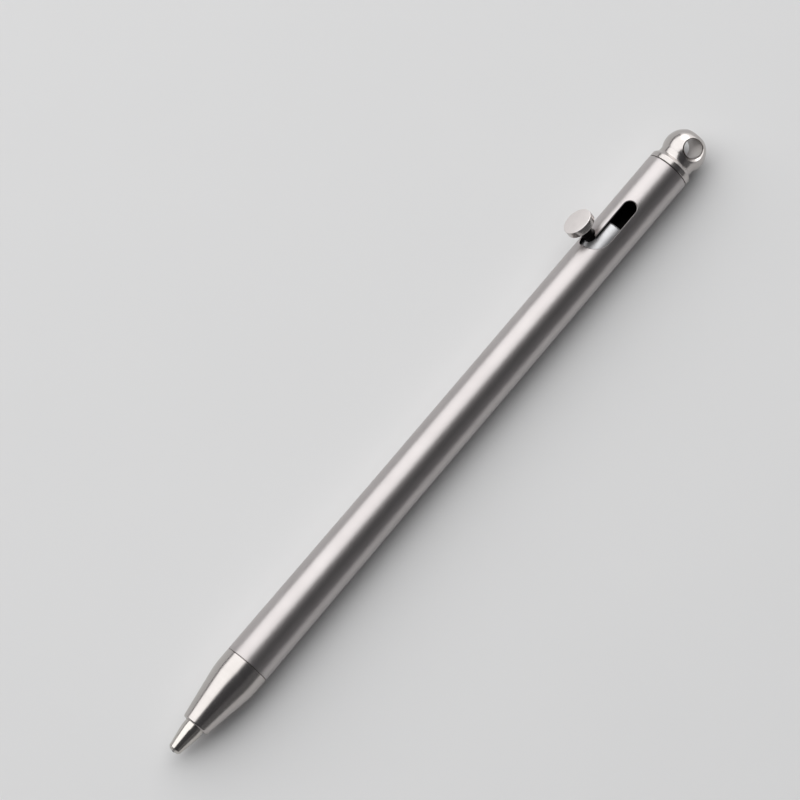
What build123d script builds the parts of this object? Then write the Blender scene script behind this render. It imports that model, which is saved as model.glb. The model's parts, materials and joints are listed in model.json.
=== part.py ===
from build123d import *
import math
import os

# Bolt-action key-ring pen, in millimetres. Every piece is turned about the pen's own axis, which is
# local +Z with 0 at the writing end (tip out), and the finished pen is laid down along world +X.

# Barrel
BARREL_OD = 6.0
BARREL_LENGTH = 84.3
BARREL_BORE = 5.0
FRONT_FLARE_OD = 6.25
FRONT_FLARE_LENGTH = 30.0
REFILL_BORE = 3.9
SEAM_CHAMFER = 0.08

# Nose cone, screwed into the front of the barrel
NOSE_LENGTH = 10.1
NOSE_FRONT_OD = 3.78
NOSE_FRONT_ROUND = 0.3
NOSE_SHOULDER_LENGTH = 2.7
NOSE_SHOULDER_RADIUS = 12.0
NOSE_GUIDE_LENGTH = 3.0
NOSE_INNER_BORE = 3.0
NOSE_SHANK_LENGTH = 5.5
NOSE_SOCKET_SPARE = 0.5

# O-ring that keeps the nose cone from working loose
O_RING_SECTION = 0.64
O_RING_FROM_SEAM = 1.3
O_RING_GROOVE_SPARE = 0.06

# Tail cap with the key-ring ball
TAIL_SHANK_LENGTH = 4.3
COLLAR_HEIGHT = 1.25
COLLAR_TAPER = 0.55
NECK_UNDER_BALL = 0.35
BALL_DIAMETER = 5.8
BALL_CENTRE_ABOVE_SEAM = 3.36
BALL_FLAT_CUT = 0.48
KEYRING_HOLE = 2.6
KEYRING_HOLE_ABOVE_CENTRE = 0.55
KEYRING_HOLE_ANGLE = 25.5
KEYRING_RIM = 0.42

# J-slot and bolt: angles are about the pen's axis, from the top line of the lying pen
STEM_FROM_TAIL = 13.72
HOOK_ANGLE = -48.0
BOLT_TURN = 42.7
BOLT_STROKE = 6.0
SLOT_WIDTH = 1.9
SLOT_TOP_SPARE = 0.05
SLOT_CORNER_RADIUS = 2.4
LEG_DROP = 0.72
HOOK_SEAT_SPARE = 0.1
STEM_DIAMETER = 1.6
STEM_SEAT_RADIUS = 0.6
KNOB_HEAD_DIAMETER = 4.1
KNOB_FACE_RADIUS = 5.85
KNOB_DOME = 0.15
KNOB_RIM = 1.0
KNOB_UNDERSIDE = 0.2
KNOB_NECK_DIAMETER = 1.7

# The stem is parted where it crosses the barrel wall, and a blind groove under the wall's tongue
# lets its foot go straight from the hook to the top of the slot.
GROOVE_SKIN = 0.15
GROOVE_SIDE_SPARE = 0.12
STEM_TOP_SPARE = 0.03
KNOB_SADDLE_SPARE = 0.06

# Bolt carrier: the plunger behind the slot and its rod down to the refill
CARRIER_ABOVE_STEM = 3.1
CARRIER_BELOW_STEM = 3.3
CARRIER_CHAMFER = 0.25
ROD_DIAMETER = 3.4
REFILL_SOCKET_DEPTH = 4.5

# Return spring and the washer that it stands on
SPRING_STEP_BEFORE_REFILL_END = 1.0
SPRING_WIRE = 0.35
SPRING_MEAN_DIAMETER = 4.2
SPRING_TURNS = 10
WASHER_THICKNESS = 0.3
WASHER_BORE = 3.6

# Refill
TIP_OUT = 4.3
REFILL_OD = 2.75
REFILL_WALL = 0.2
REFILL_LENGTH = 67.0
TIP_LENGTH = 8.0
TIP_CYLINDER_OUT = 0.9
TIP_END_DIAMETER = 1.75
TIP_END_BEVEL = 0.3
TIP_PLUG_LENGTH = 3.0
INK_CHANNEL = 0.5
WRITING_BALL = 0.8
WRITING_BALL_OUT = 0.12
INK_LENGTH = 42.0
FOLLOWER_LENGTH = 3.0

# Fits, as radial or end clearances
SCREW_FIT = 0.05
PRESS_FIT = 0.01
RUNNING_FIT = 0.05
REFILL_FIT = 0.025
NOSE_GUIDE_FIT = 0.075
BALL_FIT = 0.02
END_FIT = 0.02

# Stations along the pen
Z_NOSE_FRONT = TIP_OUT
Z_NOSE_SEAM = Z_NOSE_FRONT + NOSE_LENGTH
Z_TAIL_SEAM = Z_NOSE_SEAM + BARREL_LENGTH
Z_SPRING_STEP = REFILL_LENGTH - SPRING_STEP_BEFORE_REFILL_END
Z_STEM = Z_TAIL_SEAM - STEM_FROM_TAIL
Z_CARRIER_TOP = Z_STEM + CARRIER_ABOVE_STEM
Z_CARRIER_FOOT = Z_STEM - CARRIER_BELOW_STEM
Z_BALL = Z_TAIL_SEAM + BALL_CENTRE_ABOVE_SEAM

SLOT_ANGLE = HOOK_ANGLE + BOLT_TURN
BARREL_RADIUS = BARREL_OD / 2
BORE_RADIUS = BARREL_BORE / 2
GROOVE_RADIUS = BARREL_RADIUS - GROOVE_SKIN
REFILL_RADIUS = REFILL_OD / 2
INK_RADIUS = REFILL_RADIUS - REFILL_WALL - PRESS_FIT
O_RING_RADIUS = BORE_RADIUS - SCREW_FIT / 2 - O_RING_SECTION / 2
UPWARDS = (Align.CENTER, Align.CENTER, Align.MIN)


def turned(*outline):
    """Solid turned about the pen's axis from the edges of its (radius, height) outline."""
    return revolve(Plane.XZ * make_face(list(outline)), Axis.Z)


def turned_polygon(*points):
    """Solid turned about the pen's axis from the corners of its (radius, height) outline."""
    return turned(Polyline(*points, close=True))


def rod(diameter, start, end):
    """Round bar on the pen's axis between two stations."""
    return Pos(0, 0, start) * Cylinder(diameter / 2, end - start, align=UPWARDS)


def radial_plane(angle, station):
    """Plane on the axis that faces outwards at an angle: x runs round the pen and y along it."""
    turn = math.radians(angle)
    outwards = (math.cos(turn), math.sin(turn), 0)
    around = (-math.sin(turn), math.cos(turn), 0)
    return Plane(origin=(0, 0, station), x_dir=around, z_dir=outwards)


def axial_plane(angle):
    """Half-section plane at an angle: x runs outwards and y along the pen."""
    turn = math.radians(angle)
    outwards = (math.cos(turn), math.sin(turn), 0)
    return Plane(origin=(0, 0, 0), x_dir=outwards, z_dir=(math.sin(turn), -math.cos(turn), 0))


def slot_cutter():
    """J-shaped cutter: the straight run, the leg across its foot and the hook that locks the bolt."""
    half = SLOT_WIDTH / 2
    foot = -LEG_DROP - half
    top = BOLT_STROKE + SLOT_TOP_SPARE + STEM_DIAMETER / 2 - half
    run_outline = make_face(
        [
            Polyline((-half, top), (-half, foot), (half, foot), (half, top)),
            ThreePointArc((half, top), (0, top + half), (-half, top)),
        ]
    )
    run = extrude(radial_plane(SLOT_ANGLE, Z_STEM) * run_outline, BARREL_OD)

    leg_section = Rectangle(BARREL_OD, SLOT_WIDTH, align=(Align.MIN, Align.CENTER))
    leg_outline = Pos(0, Z_STEM - LEG_DROP) * leg_section
    leg = revolve(axial_plane(HOOK_ANGLE) * leg_outline, Axis.Z, BOLT_TURN)

    # What stays of the wall outside the round sweep from the run into the leg
    leg_reach = BORE_RADIUS * math.sin(math.radians(BOLT_TURN))
    sweep = min(SLOT_CORNER_RADIUS, 0.95 * (half + leg_reach))
    start = half - sweep
    rise = foot + sweep
    slant = sweep * math.sqrt(0.5)
    outside_outline = make_face(
        [
            Polyline(
                (start, foot), (start, foot - half), (2 * half, foot - half), (2 * half, rise), (half, rise)
            ),
            ThreePointArc((half, rise), (start + slant, rise - slant), (start, foot)),
        ]
    )
    outside = extrude(radial_plane(SLOT_ANGLE, Z_STEM) * outside_outline, BARREL_OD)

    hook_top = STEM_DIAMETER / 2 + HOOK_SEAT_SPARE / 2 - half
    hook_length = hook_top + LEG_DROP
    hook_section = SlotCenterToCenter(hook_length, SLOT_WIDTH, rotation=90)
    hook_outline = Pos(0, (hook_top - LEG_DROP) / 2) * hook_section
    hook = extrude(radial_plane(HOOK_ANGLE, Z_STEM) * hook_outline, BARREL_OD)
    return run + leg - outside + hook


def stem_groove():
    """Blind groove under the tongue, on the straight way from the hook to the top of the slot."""
    half_turn = math.radians(BOLT_TURN / 2)
    side = (BORE_RADIUS + GROOVE_RADIUS) / 2 * math.sin(half_turn)
    way = math.hypot(2 * side, BOLT_STROKE)
    lean = math.degrees(math.atan2(BOLT_STROKE, 2 * side))
    width = STEM_DIAMETER + 2 * GROOVE_SIDE_SPARE
    outline = Pos(0, BOLT_STROKE / 2) * SlotCenterToCenter(way, width, rotation=lean)
    cutter = extrude(radial_plane(HOOK_ANGLE + BOLT_TURN / 2, Z_STEM) * outline, BARREL_OD)
    return cutter & rod(2 * GROOVE_RADIUS, Z_NOSE_SEAM, Z_TAIL_SEAM)


def make_barrel():
    """Slim tube with a screw socket at each end, the spring step and the J-slot."""
    flare = FRONT_FLARE_OD / 2
    tube = turned_polygon(
        (0, Z_NOSE_SEAM),
        (flare - SEAM_CHAMFER, Z_NOSE_SEAM),
        (flare, Z_NOSE_SEAM + SEAM_CHAMFER),
        (BARREL_RADIUS, Z_NOSE_SEAM + FRONT_FLARE_LENGTH),
        (BARREL_RADIUS, Z_TAIL_SEAM - SEAM_CHAMFER),
        (BARREL_RADIUS - SEAM_CHAMFER, Z_TAIL_SEAM),
        (0, Z_TAIL_SEAM),
    )
    tube -= rod(REFILL_BORE, Z_NOSE_SEAM, Z_TAIL_SEAM)
    tube -= rod(BARREL_BORE, Z_NOSE_SEAM, Z_NOSE_SEAM + NOSE_SHANK_LENGTH + NOSE_SOCKET_SPARE)
    tube -= rod(BARREL_BORE, Z_SPRING_STEP, Z_TAIL_SEAM)
    return tube - slot_cutter() - stem_groove()


def make_nose_cone():
    """Tapered nose with a rounded shoulder, a guide bore for the refill and a screw shank."""
    front = NOSE_FRONT_OD / 2
    base = FRONT_FLARE_OD / 2
    shank = BORE_RADIUS - SCREW_FIT
    z_shoulder = Z_NOSE_SEAM - NOSE_SHOULDER_LENGTH
    z_shank_end = Z_NOSE_SEAM + NOSE_SHANK_LENGTH
    outline = make_face(
        Polyline(
            (0, Z_NOSE_FRONT),
            (front, Z_NOSE_FRONT),
            (base, z_shoulder),
            (base, Z_NOSE_SEAM - SEAM_CHAMFER),
            (base - SEAM_CHAMFER, Z_NOSE_SEAM),
            (shank, Z_NOSE_SEAM),
            (shank, z_shank_end - SEAM_CHAMFER),
            (shank - SEAM_CHAMFER, z_shank_end),
            (0, z_shank_end),
            close=True,
        )
    )
    rim = outline.vertices().sort_by_distance((front, Z_NOSE_FRONT, 0))[0]
    outline = fillet(rim, NOSE_FRONT_ROUND)
    shoulder = outline.vertices().sort_by_distance((base, z_shoulder, 0))[0]
    outline = fillet(shoulder, NOSE_SHOULDER_RADIUS)
    nose = revolve(Plane.XZ * outline, Axis.Z)
    nose -= rod(REFILL_OD + 2 * NOSE_GUIDE_FIT, Z_NOSE_FRONT, z_shank_end)
    nose -= rod(NOSE_INNER_BORE, Z_NOSE_FRONT + NOSE_GUIDE_LENGTH, z_shank_end)
    groove = O_RING_SECTION / 2 + O_RING_GROOVE_SPARE
    z_ring = Z_NOSE_SEAM + O_RING_FROM_SEAM
    floor = 2 * (O_RING_RADIUS - O_RING_SECTION / 2 - END_FIT)
    ring_space = rod(BARREL_BORE, z_ring - groove, z_ring + groove)
    return nose - (ring_space - rod(floor, z_ring - groove, z_ring + groove))


def make_nose_o_ring():
    """Rubber ring in the groove of the nose cone's shank."""
    return Pos(0, 0, Z_NOSE_SEAM + O_RING_FROM_SEAM) * Torus(O_RING_RADIUS, O_RING_SECTION / 2)


def make_tail_cap():
    """Collar, neck and flat-ended ball in one piece, with the key-ring hole and a shank in the barrel."""
    shank = BORE_RADIUS - SCREW_FIT
    ball = BALL_DIAMETER / 2
    neck = ball - NECK_UNDER_BALL
    z_collar = Z_TAIL_SEAM + COLLAR_HEIGHT
    z_ball_foot = Z_BALL - math.sqrt(ball**2 - neck**2)
    z_ball_end = Z_BALL + ball - BALL_FLAT_CUT
    flat = math.sqrt(ball**2 - (ball - BALL_FLAT_CUT) ** 2)
    z_shank = Z_TAIL_SEAM - TAIL_SHANK_LENGTH
    cap = turned(
        Polyline(
            (flat, z_ball_end),
            (0, z_ball_end),
            (0, z_shank),
            (shank - SEAM_CHAMFER, z_shank),
            (shank, z_shank + SEAM_CHAMFER),
            (shank, Z_TAIL_SEAM),
            (BARREL_RADIUS - SEAM_CHAMFER, Z_TAIL_SEAM),
            (BARREL_RADIUS, Z_TAIL_SEAM + SEAM_CHAMFER),
            (BARREL_RADIUS, z_collar - COLLAR_TAPER),
            (neck, z_collar),
            (neck, z_ball_foot),
        ),
        ThreePointArc((neck, z_ball_foot), (ball, Z_BALL), (flat, z_ball_end)),
    )
    hole = KEYRING_HOLE / 2
    rim_start = math.sqrt(ball**2 - hole**2) - KEYRING_RIM
    rim_height = ball - rim_start
    across = radial_plane(KEYRING_HOLE_ANGLE, Z_BALL + KEYRING_HOLE_ABOVE_CENTRE).location
    cap -= across * Cylinder(hole, BALL_DIAMETER)
    for side in (0, 180):
        countersink = Pos(0, 0, rim_start) * Cone(hole, hole + rim_height, rim_height, align=UPWARDS)
        cap -= across * Rot(side, 0, 0) * countersink
    return cap


def make_bolt_carrier():
    """Plunger that carries the bolt, with a rod that takes the end of the refill."""
    head = BORE_RADIUS - RUNNING_FIT
    z_rod_end = REFILL_LENGTH - REFILL_SOCKET_DEPTH
    carrier = turned_polygon(
        (0, z_rod_end),
        (ROD_DIAMETER / 2, z_rod_end),
        (ROD_DIAMETER / 2, Z_CARRIER_FOOT),
        (head, Z_CARRIER_FOOT),
        (head, Z_CARRIER_TOP - CARRIER_CHAMFER),
        (head - CARRIER_CHAMFER, Z_CARRIER_TOP),
        (0, Z_CARRIER_TOP),
    )
    carrier -= rod(REFILL_OD + 2 * REFILL_FIT, z_rod_end, REFILL_LENGTH + END_FIT)
    seat = radial_plane(HOOK_ANGLE, Z_STEM).offset(STEM_SEAT_RADIUS)
    return carrier - extrude(seat * Circle(STEM_DIAMETER / 2 + PRESS_FIT), BARREL_OD)


def make_bolt_stem():
    """Cross pin pressed into the carrier, parted just under the barrel's skin."""
    seat = radial_plane(HOOK_ANGLE, Z_STEM).offset(STEM_SEAT_RADIUS + END_FIT)
    pin = extrude(seat * Circle(STEM_DIAMETER / 2), BARREL_OD)
    return pin & rod(2 * (GROOVE_RADIUS - STEM_TOP_SPARE), Z_NOSE_SEAM, Z_TAIL_SEAM)


def make_bolt_knob():
    """Head of the bolt, with a shallow dome, a deep rim and a slightly tapered underside."""
    head = KNOB_HEAD_DIAMETER / 2
    neck = KNOB_NECK_DIAMETER / 2
    top_of_rim = KNOB_FACE_RADIUS - KNOB_DOME
    foot_of_rim = top_of_rim - KNOB_RIM
    foot_of_taper = foot_of_rim - KNOB_UNDERSIDE
    dome_radius = (head**2 + KNOB_DOME**2) / (2 * KNOB_DOME)
    half_way = head / 2
    half_way_up = KNOB_FACE_RADIUS - dome_radius + math.sqrt(dome_radius**2 - half_way**2)
    knob = turned(
        Polyline(
            (0, KNOB_FACE_RADIUS),
            (0, BORE_RADIUS),
            (neck, BORE_RADIUS),
            (neck, foot_of_taper),
            (head, foot_of_rim),
            (head, top_of_rim),
        ),
        ThreePointArc((head, top_of_rim), (half_way, half_way_up), (0, KNOB_FACE_RADIUS)),
    )
    knob = radial_plane(HOOK_ANGLE, Z_STEM).location * knob
    return knob - rod(2 * (BARREL_RADIUS + KNOB_SADDLE_SPARE), Z_NOSE_SEAM, Z_TAIL_SEAM)


def make_spring_washer():
    """Flat ring on the step in the barrel."""
    top = Z_SPRING_STEP + WASHER_THICKNESS
    return rod(BARREL_BORE - 2 * RUNNING_FIT, Z_SPRING_STEP, top) - rod(WASHER_BORE, Z_SPRING_STEP, top)


def spring_path():
    """Helix of the return spring, as two tangent arcs for each quarter turn."""
    radius = SPRING_MEAN_DIAMETER / 2
    start = Z_SPRING_STEP + WASHER_THICKNESS + SPRING_WIRE / 2 + END_FIT
    end = Z_CARRIER_FOOT - SPRING_WIRE / 2 - END_FIT
    rise = (end - start) / SPRING_TURNS / (2 * math.pi)
    quarters = 4 * SPRING_TURNS

    def station(quarter):
        turn = quarter * math.pi / 2
        place = Vector(radius * math.cos(turn), radius * math.sin(turn), start + rise * turn)
        heading = Vector(-radius * math.sin(turn), radius * math.cos(turn), rise).normalized()
        return place, heading

    arcs = []
    for quarter in range(quarters):
        place, heading = station(quarter)
        next_place, next_heading = station(quarter + 1)
        step = next_place - place
        both = heading + next_heading
        spread = 2 * (1 - heading.dot(next_heading))
        reach = (math.sqrt(step.dot(both) ** 2 + spread * step.dot(step)) - step.dot(both)) / spread
        middle = (place + next_place + (heading - next_heading) * reach) * 0.5
        first = TangentArc(place, middle, tangent=heading)
        arcs += [first, TangentArc(middle, next_place, tangent=first % 1)]
    print(f"spring: least gap between turns {2 * math.pi * rise - SPRING_WIRE:.2f} mm")
    return Wire(arcs)


def make_return_spring():
    """Round-wire compression spring between the washer and the carrier."""
    path = spring_path()
    return sweep(Plane(origin=path @ 0, z_dir=path % 0) * Circle(SPRING_WIRE / 2), path)


def make_refill_tip():
    """Turned tip: plug in the tube, cylinder, cone and the socket of the writing ball."""
    plug = REFILL_RADIUS - REFILL_WALL - PRESS_FIT
    end = TIP_END_DIAMETER / 2
    z_cone = TIP_OUT - TIP_CYLINDER_OUT
    z_plug_end = TIP_LENGTH + TIP_PLUG_LENGTH
    tip = turned_polygon(
        (0, WRITING_BALL_OUT),
        (end - TIP_END_BEVEL, WRITING_BALL_OUT),
        (end, WRITING_BALL_OUT + TIP_END_BEVEL),
        (REFILL_RADIUS, z_cone),
        (REFILL_RADIUS, TIP_LENGTH),
        (plug, TIP_LENGTH),
        (plug, z_plug_end),
        (0, z_plug_end),
    )
    tip -= Pos(0, 0, WRITING_BALL / 2) * Sphere(WRITING_BALL / 2 + BALL_FIT)
    return tip - rod(INK_CHANNEL, WRITING_BALL / 2, z_plug_end)


def make_writing_ball():
    """Hard ball held by the rim of the tip."""
    return Pos(0, 0, WRITING_BALL / 2) * Sphere(WRITING_BALL / 2)


def make_refill_tube():
    """Ink tube from the tip's flange to the carrier's socket."""
    bore = REFILL_OD - 2 * REFILL_WALL
    return rod(REFILL_OD, TIP_LENGTH, REFILL_LENGTH) - rod(bore, TIP_LENGTH, REFILL_LENGTH)


def make_ink_column():
    """Ink that stands on the tip's plug."""
    start = TIP_LENGTH + TIP_PLUG_LENGTH + END_FIT
    return rod(2 * INK_RADIUS, start, start + INK_LENGTH)


def make_ink_follower():
    """Grease plug that follows the ink down the tube."""
    start = TIP_LENGTH + TIP_PLUG_LENGTH + INK_LENGTH + 2 * END_FIT
    return rod(2 * INK_RADIUS, start, start + FOLLOWER_LENGTH)


def main():
    """Make every piece, lay the pen on its side and write one file for each piece."""
    pieces = {
        "barrel": make_barrel(),
        "nose_cone": make_nose_cone(),
        "nose_o_ring": make_nose_o_ring(),
        "tail_cap": make_tail_cap(),
        "bolt_carrier": make_bolt_carrier(),
        "bolt_stem": make_bolt_stem(),
        "bolt_knob": make_bolt_knob(),
        "spring_washer": make_spring_washer(),
        "return_spring": make_return_spring(),
        "refill_tip": make_refill_tip(),
        "writing_ball": make_writing_ball(),
        "refill_tube": make_refill_tube(),
        "ink_column": make_ink_column(),
        "ink_follower": make_ink_follower(),
    }
    lying = Plane(origin=(0, 0, 0), x_dir=(0, 0, 1), z_dir=(1, 0, 0)).location
    outside = ("barrel", "nose_cone", "tail_cap", "bolt_knob", "refill_tip", "writing_ball")
    box = Compound([lying * pieces[name] for name in outside]).bounding_box()
    placed = Pos(-box.center().X, -box.center().Y, -box.min.Z) * lying

    os.makedirs("parts", exist_ok=True)
    for name, piece in pieces.items():
        export_step(placed * piece, f"parts/{name}.step")
    axis = placed.position
    print(f"pen: {box.size.X:.2f} x {box.size.Y:.2f} x {box.size.Z:.2f} mm")
    print(f"writing end of the axis: {axis.X:.4f}, {axis.Y:.4f}, {axis.Z:.4f} mm")


main()
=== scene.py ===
"""Slim bolt-action key-ring pen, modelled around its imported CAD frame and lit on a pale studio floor.

The sizes that the classes hold are in millimetres and degrees. What goes to Blender is in metres.
"""

import json
import logging
import math
from collections.abc import Sequence
from dataclasses import dataclass
from enum import Enum

import bpy
from mathutils import Matrix, Vector


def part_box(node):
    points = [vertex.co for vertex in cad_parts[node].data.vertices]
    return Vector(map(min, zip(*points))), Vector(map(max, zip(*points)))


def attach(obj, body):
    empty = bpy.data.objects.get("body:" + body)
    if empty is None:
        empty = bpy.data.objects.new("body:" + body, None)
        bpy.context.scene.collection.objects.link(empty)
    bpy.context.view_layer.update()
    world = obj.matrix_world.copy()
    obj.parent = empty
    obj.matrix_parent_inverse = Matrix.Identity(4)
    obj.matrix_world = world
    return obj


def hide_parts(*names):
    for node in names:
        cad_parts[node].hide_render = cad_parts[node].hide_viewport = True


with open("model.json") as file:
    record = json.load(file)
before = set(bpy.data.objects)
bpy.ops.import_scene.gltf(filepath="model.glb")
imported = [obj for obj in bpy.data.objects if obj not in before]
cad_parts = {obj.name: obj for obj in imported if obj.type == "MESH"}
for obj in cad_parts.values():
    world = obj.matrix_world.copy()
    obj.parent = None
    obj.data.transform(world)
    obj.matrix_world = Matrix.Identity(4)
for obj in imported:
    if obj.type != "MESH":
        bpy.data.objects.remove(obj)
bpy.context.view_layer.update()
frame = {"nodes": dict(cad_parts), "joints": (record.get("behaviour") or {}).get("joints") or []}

MM = 0.001

# Angles in radians and distances in metres that the modelling shares.
FULL_TURN = 2 * math.pi
SMOOTH_BELOW = math.radians(30)
NEARLY_STRAIGHT = 1e-4
MERGE_DISTANCE = 1e-7
MERGE_AFTER_CUT = 1e-6

# Inputs and output of the Mix node when it blends colours, and the span in which most of a noise lies.
MIX_FACTOR = 0
MIX_FIRST = 6
MIX_SECOND = 7
MIX_RESULT = 2
NOISE_LOW = 0.25
NOISE_HIGH = 0.75

log = logging.getLogger("pen")


class Body(Enum):
    """Moving bodies of the pen that a piece can ride on."""

    BARREL = "barrel"
    REFILL = "refill"
    BOLT = "bolt"
    WRITING_BALL = "writing_ball"
    NOSE = "nose"


class Slot(Enum):
    """Material slots of the record."""

    SATIN_STEEL = "satin_steel"
    POLISHED_STEEL = "polished_steel"
    PLUNGER_STEEL = "plunger_steel"
    TIP_NICKEL_SILVER = "tip_nickel_silver"
    BALL_CARBIDE = "ball_carbide"


class Lay(Enum):
    """Way in which a tool leaves its marks on a metal surface."""

    EVEN = "even"
    ROUND_THE_PEN = "round the pen"


@dataclass(frozen=True)
class Corner:
    """Corner of an outline, in millimetres, with the radius that rounds it off."""

    along: float
    across: float
    rounding: float = 0.0


@dataclass(frozen=True)
class TurningAxis:
    """Line that a piece is turned about, with the direction in which its outline is drawn."""

    origin: Vector
    direction: Vector
    side: Vector

    def point(self, along: float, radius: float) -> Vector:
        """Give the place in metres of a point of the outline in millimetres.

        Args:
            along: Distance from the origin along the axis.
            radius: Distance from the axis.

        Returns:
            The place in the frame.
        """
        return self.origin + (self.direction * along + self.side * radius) * MM


def linear(value: str) -> tuple[float, float, float, float]:
    """Turn an sRGB hex colour into linear light.

    Args:
        value: Colour as six hex digits after a hash sign.

    Returns:
        Red, green, blue and an alpha of one.
    """
    channels = [int(value[place : place + 2], 16) / 255 for place in (1, 3, 5)]
    # The curve of sRGB: straight next to black and a power above it.
    light = [c / 12.92 if c <= 0.04045 else ((c + 0.055) / 1.055) ** 2.4 for c in channels]
    return (light[0], light[1], light[2], 1.0)


def add_node(
    tree: bpy.types.NodeTree,
    kind: str,
    settings: dict[str | int, object] | None = None,
    links: dict[str | int, bpy.types.NodeSocket] | None = None,
) -> bpy.types.Node:
    """Add a node with its settings and links.

    Args:
        tree: Tree that gets the node.
        kind: Blender's name of the node.
        settings: Values of its inputs, by name or number, and of its own properties.
        links: Output sockets that feed its inputs, by the input's name or number.

    Returns:
        The new node.
    """
    node = tree.nodes.new(kind)
    for key, value in (settings or {}).items():
        if isinstance(key, str) and hasattr(node, key):
            setattr(node, key, value)
        else:
            node.inputs[key].default_value = value
    for key, socket in (links or {}).items():
        tree.links.new(socket, node.inputs[key])
    return node


def new_material(name: str) -> bpy.types.Material:
    """Make an empty node material.

    Args:
        name: Name of the material.

    Returns:
        The material, with no nodes in it.
    """
    material = bpy.data.materials.new(name)
    material.use_nodes = True
    material.node_tree.nodes.clear()
    return material


def rounded(corners: Sequence[Corner], steps: int = 6) -> list[tuple[float, float]]:
    """Round off the corners of an open outline with arcs.

    Args:
        corners: Corners in order. The first and the last stay sharp.
        steps: Parts in which each arc is drawn.

    Returns:
        Points of the outline as (along, across).
    """
    points = [(corners[0].along, corners[0].across)]
    for before, corner, after in zip(corners, corners[1:], corners[2:]):
        here = Vector((corner.along, corner.across))
        back = (Vector((before.along, before.across)) - here).normalized()
        ahead = (Vector((after.along, after.across)) - here).normalized()
        opening = back.angle(ahead)
        if corner.rounding == 0 or math.pi - opening < NEARLY_STRAIGHT:
            points.append(tuple(here))
            continue
        reach = corner.rounding / math.tan(opening / 2)
        centre = here + (back + ahead).normalized() * corner.rounding / math.sin(opening / 2)
        start = here + back * reach - centre
        sweep = start.angle_signed(here + ahead * reach - centre)
        for step in range(steps + 1):
            turned = start.copy()
            turned.rotate(Matrix.Rotation(-sweep * step / steps, 2))
            points.append(tuple(centre + turned))
    points.append((corners[-1].along, corners[-1].across))
    return points


def arc(along: float, radius: float, first: float, last: float, steps: int) -> list[Corner]:
    """Draw a round about a point of the turning axis.

    Args:
        along: Place of its centre on the axis.
        radius: Radius of the arc.
        first: Angle of its first point from the axis, in degrees.
        last: Angle of its last point.
        steps: Parts in which it is drawn.

    Returns:
        Its points as sharp corners.
    """
    angles = [math.radians(first + (last - first) * step / steps) for step in range(steps + 1)]
    return [Corner(along + radius * math.cos(a), radius * math.sin(a)) for a in angles]


def deselect_all() -> None:
    """Leave edit mode and deselect every object."""
    if bpy.context.object and bpy.context.object.mode != "OBJECT":
        bpy.ops.object.mode_set(mode="OBJECT")
    bpy.ops.object.select_all(action="DESELECT")


def take_up(piece: bpy.types.Object) -> None:
    """Make one object the only selected and the active one.

    Args:
        piece: Object to take up.
    """
    deselect_all()
    piece.select_set(True)
    bpy.context.view_layer.objects.active = piece


def draw_line(name: str, points: Sequence[Vector]) -> bpy.types.Object:
    """Draw a chain of edges from a single vertex and stay in edit mode.

    Args:
        name: Name of the new object.
        points: Corners of the chain, in metres.

    Returns:
        The object, at the origin, with all of the chain selected.
    """
    deselect_all()
    bpy.ops.mesh.primitive_plane_add(size=MM)
    piece = bpy.context.object
    piece.name = name
    piece.data.name = name
    bpy.ops.object.mode_set(mode="EDIT")
    bpy.ops.mesh.select_mode(type="VERT")
    bpy.ops.mesh.select_all(action="SELECT")
    bpy.ops.mesh.merge(type="CENTER")
    bpy.ops.transform.translate(value=points[0])
    for here, following in zip(points, points[1:]):
        bpy.ops.mesh.extrude_region_move(TRANSFORM_OT_translate={"value": following - here})
    bpy.ops.mesh.select_all(action="SELECT")
    return piece


def close_mesh(threshold: float = MERGE_DISTANCE) -> None:
    """Merge what lies together, turn the faces outwards and leave edit mode.

    Args:
        threshold: Distance in metres below which two corners become one.
    """
    bpy.ops.mesh.select_all(action="SELECT")
    bpy.ops.mesh.remove_doubles(threshold=threshold)
    bpy.ops.mesh.dissolve_degenerate(threshold=threshold)
    bpy.ops.mesh.select_all(action="SELECT")
    bpy.ops.mesh.normals_make_consistent(inside=False)
    bpy.ops.object.mode_set(mode="OBJECT")


def turn_piece(
    name: str, axis: TurningAxis, outline: Sequence[tuple[float, float]], steps: int
) -> bpy.types.Object:
    """Turn a closed outline about an axis, as on a lathe.

    Args:
        name: Name of the new object.
        axis: Axis that the outline turns about.
        outline: Points as (along, radius) in millimetres. It starts and ends on the axis or in one point.
        steps: Parts of the full turn.

    Returns:
        The turned piece, closed, with its faces outwards.
    """
    piece = draw_line(name, [axis.point(along, radius) for along, radius in outline])
    bpy.ops.mesh.spin(steps=steps, angle=FULL_TURN, center=axis.origin, axis=axis.direction)
    close_mesh()
    return piece


def select_open_edges() -> None:
    """Select the edges that are still open: loose loops and the rims of surfaces."""
    bpy.ops.mesh.select_mode(type="EDGE")
    bpy.ops.mesh.select_all(action="DESELECT")
    bpy.ops.mesh.select_non_manifold(use_multi_face=False, use_non_contiguous=False, use_verts=False)


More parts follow.
